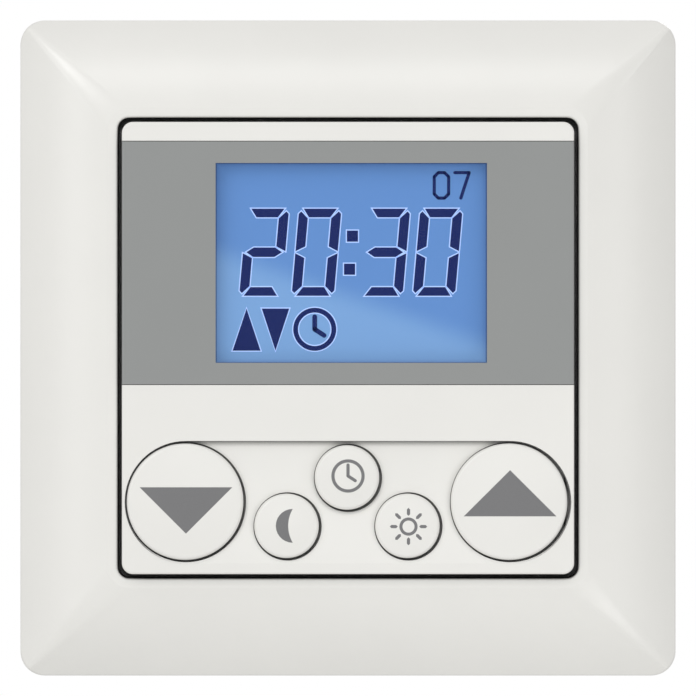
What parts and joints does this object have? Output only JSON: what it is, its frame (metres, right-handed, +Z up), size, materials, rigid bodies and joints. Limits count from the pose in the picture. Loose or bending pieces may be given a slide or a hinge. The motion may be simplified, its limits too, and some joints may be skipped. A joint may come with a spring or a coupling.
{
  "type": "programmable timer",
  "caption": "Square flush-mounted shutter timer: bevelled white frame, backlit display, round push buttons, and a plug-on power unit with screw terminals for a wall box.",
  "frame": {"origin": "centre of the mounting plate's rear face, on the wall surface", "axes": "+X right and +Z up as the user faces it, +Y into the wall; the display looks along -Y"},
  "size_m": [0.08, 0.0379, 0.08],
  "materials": {
    "white_cover": "gloss, studio white",
    "white_button": "satin",
    "grey_fascia": "satin, silk-screened grey",
    "clear_window": "polished clear acrylic",
    "lcd_glass": "polished float glass",
    "polarizer_film": "satin film",
    "light_guide": "frosted acrylic, lit blue",
    "led_body": "moulded resin",
    "white_holder": "matte white",
    "contact_rubber": "banded silicone rubber",
    "board_green": "solder resist over glass laminate",
    "component_black": "matte black moulding",
    "plunger_white": "satin",
    "steel_screw": "zinc-plated",
    "zinc_plate": "zinc-plated sheet",
    "tinned_metal": "bright tin",
    "cell_can": "drawn can",
    "gold_pins": "gold flash",
    "tray_grey": "matte light grey",
    "unit_grey": "fine spark-eroded grey",
    "relay_blue": "moulded case",
    "film_yellow": "moulded box",
    "can_sleeve": "shrink sleeve",
    "lacquer_blue": "dipped lacquer",
    "terminal_grey": "grey polyamide",
    "tinned_brass": "bright",
    "terminal_steel": "zinc-plated"
  },
  "bodies": {
    "power_unit": {"mounting_plate": "zinc_plate", "power_lid": "unit_grey", "power_housing": "unit_grey", "lid_screws": "steel_screw", "power_board": "board_green", "link_header": "component_black", "link_pins": "gold_pins", "relay_up": "relay_blue", "relay_down": "relay_blue", "mains_capacitor": "film_yellow", "smoothing_capacitor": "can_sleeve", "varistor": "lacquer_blue", "fuse": "component_black", "rectifier": "component_black", "terminal_block": "terminal_grey", "terminal_bars": "tinned_brass"},
    "control_unit": {"backlight_guide": "light_guide", "backlight_leds": "led_body", "backup_cell": "cell_can", "board_screws": "steel_screw", "clock_crystal": "tinned_metal", "contact_strip": "contact_rubber", "control_board": "board_green", "cover_frame": "white_cover", "display_fascia": "grey_fascia", "display_window": "clear_window", "front_shell": "white_cover", "key_switches": "component_black", "lcd_front_glass": "lcd_glass", "lcd_front_polarizer": "polarizer_film", "lcd_holder": "white_holder", "lcd_rear_glass": "lcd_glass", "lcd_rear_polarizer": "polarizer_film", "link_socket": "component_black", "microcontroller": "component_black", "microcontroller_leads": "tinned_metal", "rear_tray": "tray_grey"},
    "down_button": {"button_down": "white_button", "plunger_down": "plunger_white"},
    "up_button": {"button_up": "white_button", "plunger_up": "plunger_white"},
    "night_button": {"button_night": "white_button", "plunger_night": "plunger_white"},
    "clock_button": {"button_clock": "white_button", "plunger_clock": "plunger_white"},
    "day_button": {"button_day": "white_button", "plunger_day": "plunger_white"},
    "clamp_screw_1": {"terminal_screw_1": "terminal_steel"},
    "clamp_cage_1": {"terminal_cage_1": "tinned_brass"},
    "clamp_screw_2": {"terminal_screw_2": "terminal_steel"},
    "clamp_cage_2": {"terminal_cage_2": "tinned_brass"},
    "clamp_screw_3": {"terminal_screw_3": "terminal_steel"},
    "clamp_cage_3": {"terminal_cage_3": "tinned_brass"},
    "clamp_screw_4": {"terminal_screw_4": "terminal_steel"},
    "clamp_cage_4": {"terminal_cage_4": "tinned_brass"},
    "clamp_screw_5": {"terminal_screw_5": "terminal_steel"},
    "clamp_cage_5": {"terminal_cage_5": "tinned_brass"}
  },
  "joints": [
    {"name": "control_unit_pull", "type": "slide", "parent": "power_unit", "child": "control_unit", "axis": [0, -1, 0], "range_m": [0, 0.03]},
    {"name": "down_press", "type": "slide", "parent": "control_unit", "child": "down_button", "axis": [0, 1, 0], "range_m": [0, 0.0006], "stiffness_N_per_m": 1500},
    {"name": "up_press", "type": "slide", "parent": "control_unit", "child": "up_button", "axis": [0, 1, 0], "range_m": [0, 0.0006], "stiffness_N_per_m": 1500},
    {"name": "night_press", "type": "slide", "parent": "control_unit", "child": "night_button", "axis": [0, 1, 0], "range_m": [0, 0.0006], "stiffness_N_per_m": 1500},
    {"name": "clock_press", "type": "slide", "parent": "control_unit", "child": "clock_button", "axis": [0, 1, 0], "range_m": [0, 0.0006], "stiffness_N_per_m": 1500},
    {"name": "day_press", "type": "slide", "parent": "control_unit", "child": "day_button", "axis": [0, 1, 0], "range_m": [0, 0.0006], "stiffness_N_per_m": 1500},
    {"name": "clamp_rise_1", "type": "slide", "parent": "power_unit", "child": "clamp_cage_1", "axis": [0, 1, 0], "range_m": [0, 0.0018]},
    {"name": "clamp_turn_1", "type": "hinge", "parent": "power_unit", "child": "clamp_screw_1", "pos_m": [-0.01, 0.016, -0.0155], "axis": [0, -1, 0], "range_deg": [0, 1296.5]},
    {"name": "clamp_rise_2", "type": "slide", "parent": "power_unit", "child": "clamp_cage_2", "axis": [0, 1, 0], "range_m": [0, 0.0018]},
    {"name": "clamp_turn_2", "type": "hinge", "parent": "power_unit", "child": "clamp_screw_2", "pos_m": [-0.005, 0.016, -0.0155], "axis": [0, -1, 0], "range_deg": [0, 1296.5]},
    {"name": "clamp_rise_3", "type": "slide", "parent": "power_unit", "child": "clamp_cage_3", "axis": [0, 1, 0], "range_m": [0, 0.0018]},
    {"name": "clamp_turn_3", "type": "hinge", "parent": "power_unit", "child": "clamp_screw_3", "pos_m": [0, 0.016, -0.0155], "axis": [0, -1, 0], "range_deg": [0, 1296.5]},
    {"name": "clamp_rise_4", "type": "slide", "parent": "power_unit", "child": "clamp_cage_4", "axis": [0, 1, 0], "range_m": [0, 0.0018]},
    {"name": "clamp_turn_4", "type": "hinge", "parent": "power_unit", "child": "clamp_screw_4", "pos_m": [0.005, 0.016, -0.0155], "axis": [0, -1, 0], "range_deg": [0, 1296.5]},
    {"name": "clamp_rise_5", "type": "slide", "parent": "power_unit", "child": "clamp_cage_5", "axis": [0, 1, 0], "range_m": [0, 0.0018]},
    {"name": "clamp_turn_5", "type": "hinge", "parent": "power_unit", "child": "clamp_screw_5", "pos_m": [0.01, 0.016, -0.0155], "axis": [0, -1, 0], "range_deg": [0, 1296.5]}
  ],
  "couplings": [
    {"joint": "clamp_turn_1", "follows": "clamp_rise_1", "rad_per_m": 12566},
    {"joint": "clamp_turn_2", "follows": "clamp_rise_2", "rad_per_m": 12566},
    {"joint": "clamp_turn_3", "follows": "clamp_rise_3", "rad_per_m": 12566},
    {"joint": "clamp_turn_4", "follows": "clamp_rise_4", "rad_per_m": 12566},
    {"joint": "clamp_turn_5", "follows": "clamp_rise_5", "rad_per_m": 12566}
  ]
}
